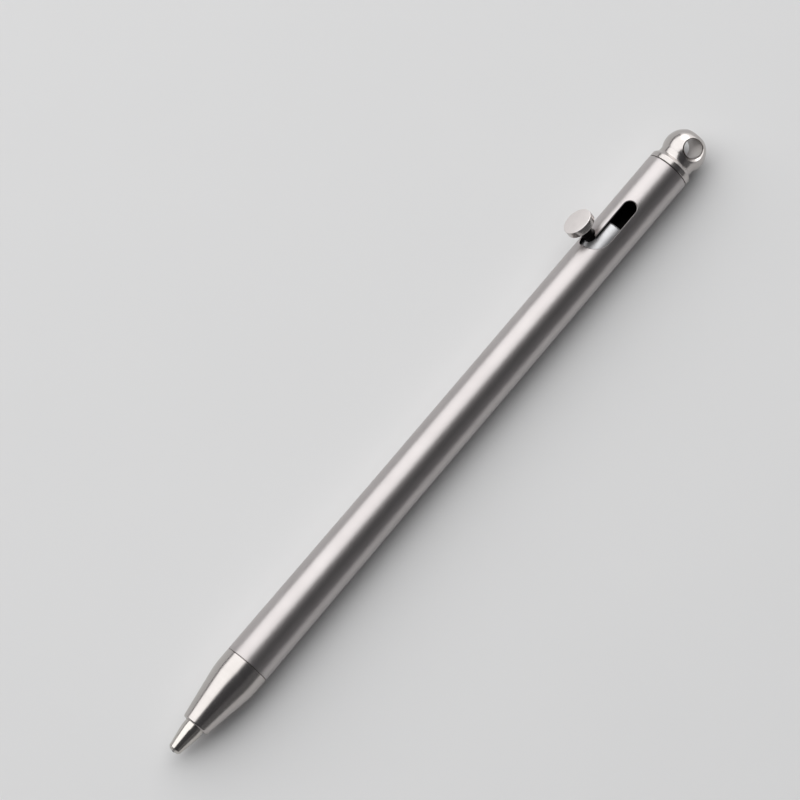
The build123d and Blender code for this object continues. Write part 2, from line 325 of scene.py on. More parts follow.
def bridge_loops(name: str, loops: Sequence[Sequence[Vector]]) -> bpy.types.Object:
    """Make a cutter by bridging closed loops one after the other and capping its two ends.

    Args:
        name: Name of the new object.
        loops: Loops in order, each with the same number of points, in metres.

    Returns:
        The closed cutter.
    """
    cutter = None
    for loop in loops:
        ring = draw_line(name, [*loop, loop[0]])
        bpy.ops.mesh.remove_doubles(threshold=MERGE_DISTANCE)
        if cutter is None:
            bpy.ops.mesh.edge_face_add()
            bpy.ops.object.mode_set(mode="OBJECT")
            cutter = ring
            continue
        take_up(cutter)
        ring.select_set(True)
        bpy.ops.object.join()
        bpy.ops.object.mode_set(mode="EDIT")
        select_open_edges()
        bpy.ops.mesh.bridge_edge_loops()
        bpy.ops.object.mode_set(mode="OBJECT")
    take_up(cutter)
    bpy.ops.object.mode_set(mode="EDIT")
    select_open_edges()
    bpy.ops.mesh.edge_face_add()
    close_mesh()
    return cutter


def cut_away(piece: bpy.types.Object, cutter: bpy.types.Object) -> None:
    """Cut one shape out of another and throw the cutter away.

    Args:
        piece: Piece that is cut.
        cutter: Closed shape that goes.
    """
    take_up(piece)
    boolean = piece.modifiers.new("cut", "BOOLEAN")
    boolean.operation = "DIFFERENCE"
    boolean.solver = "EXACT"
    boolean.object = cutter
    bpy.ops.object.modifier_apply(modifier=boolean.name)
    bpy.ops.object.mode_set(mode="EDIT")
    close_mesh(MERGE_AFTER_CUT)
    spent = cutter.data
    bpy.data.objects.remove(cutter)
    bpy.data.meshes.remove(spent)


def shade(piece: bpy.types.Object) -> None:
    """Smooth the round surfaces of a piece and keep its edges crisp."""
    take_up(piece)
    bpy.ops.object.shade_smooth_by_angle(angle=SMOOTH_BELOW)


def hand_over(piece: bpy.types.Object, body: Body, slot: Slot, *nodes: str) -> None:
    """Set a finished piece on its body, in the place of the CAD nodes that it stands for.

    Args:
        piece: Finished piece.
        body: Body that it moves with.
        slot: Material slot of the record; not used.
        *nodes: CAD nodes that it replaces.
    """
    shade(piece)
    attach(piece, body.value)
    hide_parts(*nodes)


@dataclass(frozen=True)
class Finish:
    """Finish of a surface that varies between two tones, with its marks sized in millimetres."""

    name: str
    colour: str
    shade: str
    roughness: float
    roughness_spread: float
    mark_depth: float

    def join(
        self,
        tree: bpy.types.NodeTree,
        clouds: bpy.types.NodeSocket,
        marks: bpy.types.NodeSocket,
        settings: dict[str | int, object],
    ) -> None:
        """Join the finish in its shader: clouds blend its tones, marks vary its gloss and stand in relief.

        Args:
            tree: Tree of the material.
            clouds: Noise that blends the two tones.
            marks: Noise that gives the marks.
            settings: Values of the shader that are the same all over.
        """
        tone = add_node(
            tree,
            "ShaderNodeMix",
            {"data_type": "RGBA", MIX_FIRST: linear(self.shade), MIX_SECOND: linear(self.colour)},
            {MIX_FACTOR: clouds},
        )
        gloss = add_node(
            tree,
            "ShaderNodeMapRange",
            {
                "From Min": NOISE_LOW,
                "From Max": NOISE_HIGH,
                "To Min": self.roughness - self.roughness_spread,
                "To Max": self.roughness + self.roughness_spread,
            },
            {"Value": marks},
        )
        relief = add_node(
            tree, "ShaderNodeBump", {"Strength": 1.0, "Distance": self.mark_depth * MM}, {"Height": marks}
        )
        shader = add_node(
            tree,
            "ShaderNodeBsdfPrincipled",
            settings,
            {
                "Base Color": tone.outputs[MIX_RESULT],
                "Roughness": gloss.outputs["Result"],
                "Normal": relief.outputs["Normal"],
            },
        )
        add_node(tree, "ShaderNodeOutputMaterial", None, {"Surface": shader.outputs["BSDF"]})


@dataclass(frozen=True)
class MetalFinish(Finish):
    """Finish of a bare metal surface. Marks that run round the pen have a length, even ones have none."""

    lay: Lay
    mark_width: float
    cloud_size: float
    mark_length: float = 0.0

    def stretch(self) -> tuple[float, float, float]:
        """Give the scale that turns a round noise into the marks of this lay, in parts of a metre.

        Returns:
            The scale along X, Y and Z.
        """
        fine = 1 / (self.mark_width * MM)
        if self.lay is Lay.EVEN:
            return (fine, fine, fine)
        coarse = 1 / (self.mark_length * MM)
        return (fine, coarse, coarse)

    def make(self) -> bpy.types.Material:
        """Build the finish.

        Returns:
            The material.
        """
        material = new_material(self.name)
        tree = material.node_tree
        place = add_node(tree, "ShaderNodeTexCoord").outputs["Object"]
        stretched = add_node(
            tree, "ShaderNodeMapping", {"vector_type": "POINT", "Scale": self.stretch()}, {"Vector": place}
        )
        marks = add_node(
            tree,
            "ShaderNodeTexNoise",
            {"Scale": 1.0, "Detail": 3.0, "Roughness": 0.6},
            {"Vector": stretched.outputs["Vector"]},
        )
        clouds = add_node(
            tree,
            "ShaderNodeTexNoise",
            {"Scale": 1 / (self.cloud_size * MM), "Detail": 2.0},
            {"Vector": place},
        )
        self.join(tree, clouds.outputs["Fac"], marks.outputs["Fac"], {"Metallic": 1.0})
        return material


@dataclass(frozen=True)
class SoftFinish(Finish):
    """Finish of plastic, rubber, ink, grease or paper, whose marks also blend its tones."""

    ior: float
    see_through: float
    mark_size: float

    def make(self) -> bpy.types.Material:
        """Build the finish.

        Returns:
            The material.
        """
        material = new_material(self.name)
        tree = material.node_tree
        place = add_node(tree, "ShaderNodeTexCoord").outputs["Object"]
        marks = add_node(
            tree,
            "ShaderNodeTexNoise",
            {"Scale": 1 / (self.mark_size * MM), "Detail": 3.0},
            {"Vector": place},
        )
        noise = marks.outputs["Fac"]
        settings = {"Metallic": 0.0, "IOR": self.ior, "Transmission Weight": self.see_through}
        self.join(tree, noise, noise, settings)
        return material


# Stainless steel, turned and then fine bead-blasted: a soft, slightly warm sheen whose edges run
# out gently. The blast grain is about 0.04 mm, drawn at 0.14 mm so that it shows.
SATIN_BARREL = MetalFinish(
    name="stainless steel, bead-blasted",
    colour="#C3BEBD",
    shade="#B5B0AF",
    roughness=0.36,
    roughness_spread=0.05,
    lay=Lay.EVEN,
    mark_width=0.14,
    mark_depth=0.004,
    cloud_size=4.0,
)

# Stainless steel, bored, coloured near black as painted shade: the bore, the slot's walls and the tail end
# face are darkened where shade falls. The boring tool's rings are about 0.12 mm apart.
BORE_PAINTED_SHADE = MetalFinish(
    name="stainless steel, bored, painted shade",
    colour="#3A3836",
    shade="#242322",
    roughness=0.55,
    roughness_spread=0.08,
    lay=Lay.ROUND_THE_PEN,
    mark_width=0.12,
    mark_length=6.0,
    mark_depth=0.006,
    cloud_size=3.0,
)

# Stainless steel, turned and polished: sharper reflections than the barrel, with faint rings left by
# the tool. The rings are about 0.05 mm apart, drawn at 0.16 mm so that they show.
POLISHED_END = MetalFinish(
    name="stainless steel, turned and polished",
    colour="#C6C1BE",
    shade="#B9B4B1",
    roughness=0.23,
    roughness_spread=0.04,
    lay=Lay.ROUND_THE_PEN,
    mark_width=0.16,
    mark_length=8.0,
    mark_depth=0.0022,
    cloud_size=3.0,
)

# Stainless steel, faced on the lathe and tumbled: the knob's face scatters light softly and stays pale
# from most sides. The tumbling marks are about 0.05 mm, drawn at 0.16 mm so that they show.
TUMBLED_FACE = MetalFinish(
    name="stainless steel, faced and tumbled",
    colour="#E9E4E2",
    shade="#DDD8D6",
    roughness=0.52,
    roughness_spread=0.05,
    lay=Lay.EVEN,
    mark_width=0.16,
    mark_depth=0.003,
    cloud_size=1.5,
)

# Screw steel, coloured near black as painted shade: the stem under the knob shows as a black gap, as in the
# knob's shade. The grain is about 0.03 mm, drawn at 0.12 mm so that it shows.
STEM_PAINTED_SHADE = MetalFinish(
    name="screw steel, painted shade",
    colour="#2B2928",
    shade="#1B1A1A",
    roughness=0.42,
    roughness_spread=0.06,
    lay=Lay.EVEN,
    mark_width=0.12,
    mark_depth=0.002,
    cloud_size=0.8,
)

# Stainless steel, bright turned: the plunger behind the slot and the washer, with clear rings from the
# tool's feed of 0.14 mm a turn.
BRIGHT_PLUNGER = MetalFinish(
    name="stainless steel, bright turned",
    colour="#C8C8C9",
    shade="#B4B4B6",
    roughness=0.42,
    roughness_spread=0.08,
    lay=Lay.ROUND_THE_PEN,
    mark_width=0.14,
    mark_length=7.0,
    mark_depth=0.002,
    cloud_size=2.0,
)

# Spring steel, drawn to wire: greyer than the stainless pieces, with an even grain. The grain is about
# 0.02 mm, drawn at 0.1 mm so that it shows.
DRAWN_WIRE = MetalFinish(
    name="spring steel, drawn wire",
    colour="#B9B6B3",
    shade="#A29F9C",
    roughness=0.3,
    roughness_spread=0.06,
    lay=Lay.EVEN,
    mark_width=0.1,
    mark_depth=0.002,
    cloud_size=1.0,
)

# Nickel silver, turned: a white metal, a little warmer than the steel, with a bright cone. The rings are
# about 0.03 mm apart, drawn at 0.12 mm so that they show.
NICKEL_SILVER_TIP = MetalFinish(
    name="nickel silver, turned",
    colour="#CECAC5",
    shade="#BFBAB4",
    roughness=0.2,
    roughness_spread=0.04,
    lay=Lay.ROUND_THE_PEN,
    mark_width=0.12,
    mark_length=5.0,
    mark_depth=0.002,
    cloud_size=1.2,
)

# Tungsten carbide, ground and lapped: a small dark mirror. The lapping marks are far finer than 0.01 mm,
# drawn at 0.08 mm and very flat.
LAPPED_CARBIDE = MetalFinish(
    name="tungsten carbide, lapped",
    colour="#8A8A8E",
    shade="#77777C",
    roughness=0.12,
    roughness_spread=0.03,
    lay=Lay.EVEN,
    mark_width=0.08,
    mark_depth=0.0005,
    cloud_size=0.4,
)

# Polypropylene, extruded: a milky tube that lets some light through, with waves of about 1.2 mm.
MILKY_TUBE = SoftFinish(
    name="polypropylene, extruded",
    colour="#E6E5E0",
    shade="#D6D5CF",
    roughness=0.34,
    roughness_spread=0.05,
    ior=1.49,
    see_through=0.35,
    mark_size=1.2,
    mark_depth=0.004,
)

# Black ballpoint ink, poured: close to black, with a wet gloss that varies over about 1.5 mm.
POURED_INK = SoftFinish(
    name="ballpoint ink, poured",
    colour="#17171B",
    shade="#0C0C10",
    roughness=0.12,
    roughness_spread=0.04,
    ior=1.4,
    see_through=0.0,
    mark_size=1.5,
    mark_depth=0.002,
)

# Silicone grease, filled in: a pale yellowish plug with soft lumps of about 0.7 mm.
GREASE_PLUG = SoftFinish(
    name="silicone grease, filled",
    colour="#DCD5B4",
    shade="#C6BD97",
    roughness=0.28,
    roughness_spread=0.06,
    ior=1.41,
    see_through=0.3,
    mark_size=0.7,
    mark_depth=0.01,
)

# Nitrile rubber, moulded: a dull black ring with a fine bloom, in specks of about 0.2 mm.
MOULDED_RUBBER = SoftFinish(
    name="nitrile rubber, moulded",
    colour="#232325",
    shade="#171718",
    roughness=0.55,
    roughness_spread=0.08,
    ior=1.52,
    see_through=0.0,
    mark_size=0.2,
    mark_depth=0.006,
)

# Paper, rolled out as a studio floor: pale and matt, with faint clouds of 30 mm that don't catch the eye.
STUDIO_PAPER = SoftFinish(
    name="paper, matt",
    colour="#E4E4E4",
    shade="#E1E1E1",
    roughness=0.85,
    roughness_spread=0.03,
    ior=1.45,
    see_through=0.0,
    mark_size=30.0,
    mark_depth=0.0,
)


@dataclass(frozen=True)
class PenLayout:
    """Stations along the pen, radii that its pieces share and the slot's angles from the pen's top line."""

    axis: TurningAxis
    nose_front: float
    nose_seam: float
    nose_shank_end: float
    tail_shank_start: float
    tail_seam: float
    ball_end: float
    base_radius: float
    barrel_radius: float
    spring_step: float
    carrier_start: float
    carrier_top: float
    carrier_radius: float
    stem: float
    tip_front: float
    tip_shoulder: float
    tip_end: float
    tip_radius: float
    writing_end: float
    writing_ball_radius: float
    slot_angle: float = -5.3
    hook_angle: float = -48.0

    @classmethod
    def read(cls) -> "PenLayout":
        """Read the layout from the boxes of the CAD nodes and the bolt's hinge.

        Returns:
            The layout of this pen.
        """
        hinge = next(joint for joint in frame["joints"] if joint["name"] == "bolt_turn")["pos_m"]
        axis = TurningAxis(Vector((0, hinge[1], hinge[2])), Vector((1, 0, 0)), Vector((0, 0, 1)))

        def starts(node: str) -> float:
            """Give the station where a node starts."""
            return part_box(node)[0][0] / MM

        def ends(node: str) -> float:
            """Give the station where a node ends."""
            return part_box(node)[1][0] / MM

        def reach(node: str) -> float:
            """Give the largest radius of a node that is round about the axis."""
            return (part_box(node)[1][2] - hinge[2]) / MM

        return cls(
            axis=axis,
            nose_front=starts("nose_cone"),
            nose_seam=starts("barrel"),
            nose_shank_end=ends("nose_cone"),
            tail_shank_start=starts("tail_cap"),
            tail_seam=ends("barrel"),
            ball_end=ends("tail_cap"),
            base_radius=reach("nose_cone"),
            barrel_radius=reach("tail_cap"),
            spring_step=starts("spring_washer"),
            carrier_start=starts("bolt_carrier"),
            carrier_top=ends("bolt_carrier"),
            carrier_radius=reach("bolt_carrier"),
            stem=hinge[0] / MM,
            tip_front=starts("refill_tip"),
            tip_shoulder=starts("refill_tube"),
            tip_end=ends("refill_tip"),
            tip_radius=reach("refill_tip"),
            writing_end=starts("writing_ball"),
            writing_ball_radius=reach("writing_ball"),
        )

    def outwards(self, angle: float) -> Vector:
        """Give the direction straight out of the pen at an angle in degrees from its top line."""
        turn = math.radians(angle)
        return Vector((0, -math.sin(turn), math.cos(turn)))

    def around(self, angle: float) -> Vector:
        """Give the direction round the pen at an angle in degrees, towards larger angles."""
        turn = math.radians(angle)
        return Vector((0, -math.cos(turn), -math.sin(turn)))

    def cross_axis(self, station: float, angle: float) -> TurningAxis:
        """Give the axis that leaves the pen's own axis at a station and an angle."""
        origin = self.axis.point(station, 0)
        return TurningAxis(origin, self.outwards(angle), self.axis.direction)

    def distance(self, place: Vector) -> float:
        """Give a place's distance from the pen's axis, in millimetres."""
        offset = place - self.axis.origin
        return math.hypot(offset.y, offset.z) / MM


@dataclass(frozen=True)
class SlotPoint:
    """Point of the slot's outline, in the plane through the axis that faces outwards at an angle."""

    along: float
    across: float
    angle: float


def slot_round(
    centre: SlotPoint, radius: float, first: float, last: float, step_angle: float = 7.5, fewest: int = 4
) -> list[SlotPoint]:
    """Draw a round of the slot's outline.

    Args:
        centre: Its centre.
        radius: Its radius, in millimetres.
        first: Direction of its first point from the centre, in degrees from the pen's axis.
        last: Direction of its last point.
        step_angle: Angle of each part in which it is drawn.
        fewest: Fewest parts of a short round.

    Returns:
        Its points in order.
    """
    steps = max(fewest, round(abs(last - first) / step_angle))
    turns = [math.radians(first + (last - first) * step / steps) for step in range(steps + 1)]
    return [
        SlotPoint(
            centre.along + radius * math.cos(turn), centre.across + radius * math.sin(turn), centre.angle
        )
        for turn in turns
    ]


@dataclass
class Barrel:
    """Slim tube with a screw socket at each end, the spring step and the J-slot."""

    pen: PenLayout
    bore: float = 2.5
    refill_bore: float = 1.95
    chamfer: float = 0.05
    nose_gap: float = 0.05
    tail_gap: float = 0.09
    flare_length: float = 30.0
    nose_socket: float = 6.0
    slot_width: float = 1.9
    slot_top: float = 6.85
    slot_corner: float = 2.4
    leg_drop: float = 0.72
    hook_top: float = 0.85
    slot_margin: float = 0.6
    slot_chamfer: float = 0.1
    slot_knee: float = 2.7
    leg_parts: int = 18
    leg_points: int = 3
    sharpest_mitre: float = 0.4
    cutter_foot: float = 1.6
    cutter_over: float = 0.02
    cutter_height: float = 2.0
    skin: float = 2.93
    steps: int = 192

    def tube(self) -> bpy.types.Object:
        """Turn the plain tube.

        Returns:
            The tube, with no slot in it.
        """
        pen = self.pen
        radius = pen.barrel_radius
        socket_end = pen.nose_seam + self.nose_socket
        slot_start = pen.stem - self.leg_drop - self.slot_width / 2
        front = pen.nose_seam + self.nose_gap
        back = pen.tail_seam - self.tail_gap
        outline = [
            (front, self.bore),
            (front, pen.base_radius - self.chamfer),
            (front + self.chamfer, pen.base_radius),
            (pen.nose_seam + self.flare_length, radius),
            (slot_start - self.slot_margin, radius),
            (pen.stem + self.slot_top + self.slot_margin, radius),
            (back - self.chamfer, radius),
            (back, radius - self.chamfer),
            (back, self.bore),
            (pen.stem + self.slot_top + self.slot_margin, self.bore),
            (slot_start - self.slot_margin, self.bore),
            (pen.spring_step, self.bore),
            (pen.spring_step, self.refill_bore),
            (socket_end, self.refill_bore),
            (socket_end, self.bore),
            (front, self.bore),
        ]
        return turn_piece("barrel_tube", pen.axis, outline, self.steps)

    def slot_outline(self) -> list[SlotPoint]:
        """Draw the J: the run's top, the tongue, the hook, the leg and the run's round foot.

        Returns:
            Its points in order, as they lie on the barrel's surface.
        """
        half = self.slot_width / 2
        run, hook = self.pen.slot_angle, self.pen.hook_angle
        leg_top, foot = half - self.leg_drop, -half - self.leg_drop
        hook_middle = self.hook_top - half
        tongue = math.degrees(math.acos((leg_top - hook_middle) / half))
        foot_round = SlotPoint(foot + self.slot_corner, half - self.slot_corner, run)
        leg_step = (run - hook) / self.leg_parts
        return [
            *slot_round(SlotPoint(self.slot_top - half, 0, run), half, 90, -90),
            SlotPoint(leg_top, -half, run),
            *slot_round(SlotPoint(hook_middle, 0, hook), half, tongue, -90),
            *slot_round(SlotPoint(-self.leg_drop, 0, hook), half, -90, -180),
            *(SlotPoint(foot, 0, hook + leg_step * count) for count in range(1, self.leg_points + 1)),
            *slot_round(foot_round, self.slot_corner, 180, 90),
        ]

    def spread_slot(self, width: float) -> list[SlotPoint]:
        """Spread the slot's outline outwards on the barrel's surface.

        Args:
            width: How far it is spread, in millimetres.

        Returns:
            The spread outline.
        """
        radius = self.pen.barrel_radius
        points = self.slot_outline()
        flat = [
            Vector((p.along, radius * (math.radians(p.angle) + math.asin(p.across / radius))))
            for p in points
        ]
        spread = []
        for index, (point, here) in enumerate(zip(points, flat)):
            back = (here - flat[index - 1]).normalized()
            ahead = (flat[(index + 1) % len(flat)] - here).normalized()
            outwards = Vector((-back.y - ahead.y, back.x + ahead.x)).normalized()
            mitre = width / max(self.sharpest_mitre, outwards.dot(Vector((-back.y, back.x))))
            turn = (here.y + outwards.y * mitre) / radius - math.radians(point.angle)
            spread.append(SlotPoint(here.x + outwards.x * mitre, radius * math.sin(turn), point.angle))
        return spread

    def slot_loop(self, radius: float, width: float) -> list[Vector]:
        """Lay the slot's outline round the pen, with straight walls that turn to the axis under a knee.

        Args:
            radius: Distance of the loop from the axis, in millimetres.
            width: How far the outline is spread.

        Returns:
            The loop's points in metres.
        """
        reach = max(radius, self.slot_knee)
        straight = min(reach, self.pen.barrel_radius + self.slot_chamfer)
        loop = []
        for point in self.spread_slot(width):
            height = math.sqrt(straight**2 - point.across**2)
            side = self.pen.outwards(point.angle) * height + self.pen.around(point.angle) * point.across
            middle = self.pen.axis.point(self.pen.stem + point.along, 0)
            loop.append(middle + side * (radius / straight) * MM)
        return loop

    def slot_cutter(self) -> bpy.types.Object:
        """Make the cutter of the J-slot, which also breaks the slot's outer edge.

        Returns:
            The closed cutter.
        """
        radius = self.pen.barrel_radius
        spread = self.slot_chamfer + self.cutter_over
        loops = [
            self.slot_loop(self.cutter_foot, 0),
            self.slot_loop(radius - self.slot_chamfer, 0),
            self.slot_loop(radius + self.cutter_over, spread),
            self.slot_loop(radius + self.cutter_height, spread),
        ]
        return bridge_loops("slot_cutter", loops)

    def build(self) -> list[bpy.types.Object]:
        """Build the barrel and dress it: painted shade in its bore, on its slot walls and its tail end,
        satin outside and on its front end.

        Returns:
            The finished piece.
        """
        piece = self.tube()
        cut_away(piece, self.slot_cutter())
        finishes = (SATIN_BARREL, BORE_PAINTED_SHADE)
        for finish in finishes:
            piece.data.materials.append(finish.make())
        front_end = (self.pen.nose_seam + 2 * self.nose_gap) * MM
        # Faces inside the skin, behind the front end, take the bore's painted shade.
        for face in piece.data.polygons:
            inside = self.pen.distance(face.center) < self.skin and face.center.x > front_end
            face.material_index = finishes.index(BORE_PAINTED_SHADE if inside else SATIN_BARREL)
        hand_over(piece, Body.BARREL, Slot.SATIN_STEEL, "barrel")
        return [piece]


@dataclass
class NoseCone:
    """Tapered nose with a rounded shoulder, a guide bore, an O-ring groove and a screw shank."""

    pen: PenLayout
    front_radius: float = 1.89
    front_round: float = 0.3
    shoulder_length: float = 2.7
    shoulder_round: float = 12.0
    chamfer: float = 0.05
    shank: float = 2.45
    guide_bore: float = 1.45
    guide_length: float = 3.0
    inner_bore: float = 1.5
    ring_from_seam: float = 1.3
    ring_groove: float = 0.38
    ring_floor: float = 1.815
    thread_from_seam: float = 2.1
    thread_pitch: float = 0.4
    thread_depth: float = 0.2
    root_share: float = 0.45
    crest_share: float = 0.9
    thread_runout: float = 0.4
    arc_steps: int = 10
    steps: int = 128

    def thread(self) -> list[Corner]:
        """Draw the turns of the screw as rings cut into the shank.

        Returns:
            Corners of the grooves, from the seam to the shank's end.
        """
        start = self.pen.nose_seam + self.thread_from_seam
        turns = int((self.pen.nose_shank_end - self.thread_runout - start) / self.thread_pitch)
        corners = []
        for turn in range(turns):
            groove = start + turn * self.thread_pitch
            corners.append(Corner(groove, self.shank))
            root = groove + self.root_share * self.thread_pitch
            corners.append(Corner(root, self.shank - self.thread_depth))
            corners.append(Corner(groove + self.crest_share * self.thread_pitch, self.shank))
        return corners

    def build(self) -> list[bpy.types.Object]:
        """Build the nose cone and dress it.

        Returns:
            The finished piece.
        """
        pen = self.pen
        base = pen.base_radius
        ring = pen.nose_seam + self.ring_from_seam
        end = pen.nose_shank_end
        guide_end = pen.nose_front + self.guide_length
        corners = [
            Corner(pen.nose_front, self.guide_bore),
            Corner(pen.nose_front, self.front_radius, self.front_round),
            Corner(pen.nose_seam - self.shoulder_length, base, self.shoulder_round),
            Corner(pen.nose_seam - self.chamfer, base),
            Corner(pen.nose_seam, base - self.chamfer),
            Corner(pen.nose_seam, self.shank),
            Corner(ring - self.ring_groove, self.shank),
            Corner(ring - self.ring_groove, self.ring_floor),
            Corner(ring + self.ring_groove, self.ring_floor),
            Corner(ring + self.ring_groove, self.shank),
            *self.thread(),
            Corner(end - self.chamfer, self.shank),
            Corner(end, self.shank - self.chamfer),
            Corner(end, self.inner_bore),
            Corner(guide_end, self.inner_bore),
            Corner(guide_end, self.guide_bore),
            Corner(pen.nose_front, self.guide_bore),
        ]
        piece = turn_piece("nose_shell", pen.axis, rounded(corners, self.arc_steps), self.steps)
        piece.data.materials.append(POLISHED_END.make())
        hand_over(piece, Body.NOSE, Slot.POLISHED_STEEL, "nose_cone")
        return [piece]


@dataclass
class TailCap:
    """Collar, neck and flat-ended ball in one piece, with the key-ring hole and a shank in the barrel."""

    pen: PenLayout
    shank: float = 2.45
    chamfer: float = 0.05
    collar_height: float = 1.25
    collar_taper: float = 0.55
    collar_round: float = 0.12
    neck: float = 2.55
    ball_radius: float = 2.9
    flat_cut: float = 0.48
    flat_round: float = 0.15
    flat_lead: float = 2.0
    hole_radius: float = 1.3
    hole_above_centre: float = 0.55
    hole_angle: float = 25.5
    hole_rim: float = 0.42
    hole_round: float = 0.3
    hole_steps: int = 96
    ball_steps: int = 48
    steps: int = 128

    def hole_cutter(self, ball_centre: float) -> bpy.types.Object:
        """Make the cutter of the key-ring hole, with a countersink at both ends.

        Args:
            ball_centre: Station of the ball's centre.

        Returns:
            The closed cutter.
        """
        axis = self.pen.cross_axis(ball_centre + self.hole_above_centre, self.hole_angle)
        rim = math.sqrt(self.ball_radius**2 - self.hole_radius**2) - self.hole_rim
        over = self.ball_radius - rim
        corners = [
            Corner(-self.ball_radius, 0),
            Corner(-self.ball_radius, self.hole_radius + over),
            Corner(-rim, self.hole_radius, self.hole_round),
            Corner(rim, self.hole_radius, self.hole_round),
            Corner(self.ball_radius, self.hole_radius + over),
            Corner(self.ball_radius, 0),
        ]
        return turn_piece("hole_cutter", axis, rounded(corners), self.hole_steps)

    def build(self) -> list[bpy.types.Object]:
        """Build the tail cap and dress it.

        Returns:
            The finished piece.
        """
        pen = self.pen
        radius = pen.barrel_radius
        centre = pen.ball_end - self.ball_radius + self.flat_cut
        collar = pen.tail_seam + self.collar_height
        foot = math.degrees(math.pi - math.asin(self.neck / self.ball_radius))
        rim = math.degrees(math.acos(1 - self.flat_cut / self.ball_radius))
        flat = self.ball_radius * math.sin(math.radians(rim))
        corners = [
            Corner(pen.tail_shank_start, 0),
            Corner(pen.tail_shank_start, self.shank - self.chamfer),
            Corner(pen.tail_shank_start + self.chamfer, self.shank),
            Corner(pen.tail_seam, self.shank),
            Corner(pen.tail_seam, radius - self.chamfer),
            Corner(pen.tail_seam + self.chamfer, radius),
            Corner(collar - self.collar_taper, radius, self.collar_round),
            Corner(collar, self.neck, self.collar_round),
            *arc(centre, self.ball_radius, foot, rim + self.flat_lead, self.ball_steps),
            Corner(pen.ball_end, flat, self.flat_round),
            Corner(pen.ball_end, 0),
        ]
        piece = turn_piece("tail_ball_cap", pen.axis, rounded(corners), self.steps)
        cut_away(piece, self.hole_cutter(centre))
        piece.data.materials.append(POLISHED_END.make())
        hand_over(piece, Body.BARREL, Slot.POLISHED_STEEL, "tail_cap")
        return [piece]


@dataclass
class Bolt:
    """Plunger behind the slot, with its rod, and the cross stem with the knob."""

    pen: PenLayout
    chamfer: float = 0.25
    chamfer_round: float = 0.05
    head_start: float = 3.3
    rod_radius: float = 1.7
    rod_round: float = 0.1
    socket_radius: float = 1.4
    socket_depth: float = 4.52
    seat: float = 0.6
    seat_play: float = 0.02
    drill_end: float = 4.0
    stem_radius: float = 0.8
    stem_fit: float = 0.01
    neck_radius: float = 0.85
    neck_start: float = 3.06
    neck_slope: float = 0.05
    face: float = 5.85
    dome: float = 0.15
    dome_share: float = 0.93
    rim: float = 1.0
    rim_round: float = 0.1
    underside: float = 0.2
    underside_round: float = 0.12
    head_radius: float = 2.05
    face_edge: float = 0.03
    dome_steps: int = 10
    plunger_arc_steps: int = 4
    knob_arc_steps: int = 5
    drill_steps: int = 64
    steps: int = 128

    def plunger(self) -> bpy.types.Object:
        """Turn the plunger and its rod, and drill the seat of the stem.

        Returns:
            The finished piece.
        """
        pen = self.pen
        foot = pen.stem - self.head_start
        socket_end = pen.carrier_start + self.socket_depth
        corners = [
            Corner(socket_end, 0),
            Corner(socket_end, self.socket_radius),
            Corner(pen.carrier_start, self.socket_radius),
            Corner(pen.carrier_start, self.rod_radius, self.rod_round),
            Corner(foot, self.rod_radius),
            Corner(foot, pen.carrier_radius, self.rod_round),
            Corner(pen.carrier_top - self.chamfer, pen.carrier_radius, self.chamfer_round),
            Corner(pen.carrier_top, pen.carrier_radius - self.chamfer, self.chamfer_round),
            Corner(pen.carrier_top, 0),
        ]
        outline = rounded(corners, self.plunger_arc_steps)
        piece = turn_piece("bolt_plunger", pen.axis, outline, self.steps)
        drill_radius = self.stem_radius + self.stem_fit
        drill = [
            (self.seat, 0),
            (self.seat, drill_radius),
            (self.drill_end, drill_radius),
            (self.drill_end, 0),
        ]
        axis = pen.cross_axis(pen.stem, pen.hook_angle)
        cut_away(piece, turn_piece("stem_drill", axis, drill, self.drill_steps))
        piece.data.materials.append(BRIGHT_PLUNGER.make())
        hand_over(piece, Body.BOLT, Slot.PLUNGER_STEEL, "bolt_carrier")
        return piece

    def knob(self) -> bpy.types.Object:
        """Turn the stem and the knob in one piece and dress its face and rim, and its stem with painted
        shade.

        Returns:
            The finished piece.
        """
        rim_top = self.face - self.dome
        rim_foot = rim_top - self.rim
        crown = (self.head_radius**2 + self.dome**2) / (2 * self.dome)
        half_sweep = math.degrees(math.asin(self.head_radius / crown))
        corners = [
            Corner(self.seat + self.seat_play, 0),
            Corner(self.seat + self.seat_play, self.stem_radius),
            Corner(self.neck_start - self.neck_slope, self.stem_radius),
            Corner(self.neck_start, self.neck_radius),
            Corner(rim_foot - self.underside, self.neck_radius, self.underside_round),
            Corner(rim_foot, self.head_radius, self.underside_round),
            Corner(rim_top, self.head_radius, self.rim_round),
            *arc(self.face - crown, crown, half_sweep * self.dome_share, 0, self.dome_steps),
        ]
        axis = self.pen.cross_axis(self.pen.stem, self.pen.hook_angle)
        outline = rounded(corners, self.knob_arc_steps)
        piece = turn_piece("bolt_knob_and_stem", axis, outline, self.steps)
        finishes = (POLISHED_END, TUMBLED_FACE, STEM_PAINTED_SHADE)
        for finish in finishes:
            piece.data.materials.append(finish.make())
        # The face gets the tumbled finish; the stem and neck below the underside get painted shade.
        for face in piece.data.polygons:
            height = (face.center - axis.origin).dot(axis.direction) / MM
            if height > rim_top - self.face_edge:
                face.material_index = finishes.index(TUMBLED_FACE)
            elif height < rim_foot - self.underside:
                face.material_index = finishes.index(STEM_PAINTED_SHADE)
        hand_over(piece, Body.BOLT, Slot.SATIN_STEEL, "bolt_knob", "bolt_stem")
        return piece

    def build(self) -> list[bpy.types.Object]:
        """Build the plunger, then the knob with its stem."""
        return [self.plunger(), self.knob()]


